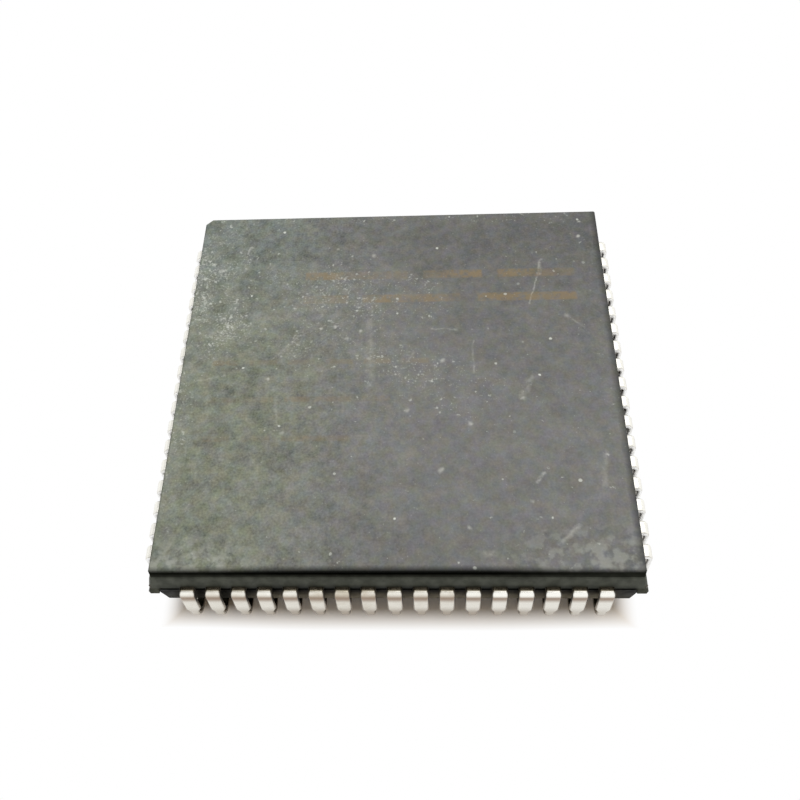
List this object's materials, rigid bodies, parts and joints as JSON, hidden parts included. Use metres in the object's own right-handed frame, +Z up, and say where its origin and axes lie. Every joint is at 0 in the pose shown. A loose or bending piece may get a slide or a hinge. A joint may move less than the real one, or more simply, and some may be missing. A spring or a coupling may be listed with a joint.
{
  "type": "plastic leaded chip carrier",
  "caption": "Square grey-black moulded chip package with a row of J-shaped tinned leads along each side and one bevelled index corner, for a board or a socket.",
  "frame": {"origin": "middle of the seating plane, under the rolled feet of the leads", "axes": "+Z up out of the top face, X along the front row, bevelled index corner at -X and +Y"},
  "size_m": [0.0252, 0.0252, 0.0044],
  "materials": {
    "moulding_compound": "fine matte, dusty and scuffed on top",
    "tinned_leads": "satin tin plating with a slight tan tarnish",
    "lead_frame": "bare copper alloy",
    "die_adhesive": "silver-filled epoxy",
    "silicon": "polished",
    "gold_wire": "drawn gold"
  },
  "bodies": {
    "root": {"moulded_body": "moulding_compound", "front_leads": "tinned_leads", "right_leads": "tinned_leads", "back_leads": "tinned_leads", "left_leads": "tinned_leads", "die_paddle": "lead_frame", "die_attach": "die_adhesive", "silicon_die": "silicon", "front_bond_wires": "gold_wire", "right_bond_wires": "gold_wire", "back_bond_wires": "gold_wire", "left_bond_wires": "gold_wire"}
  },
  "joints": []
}
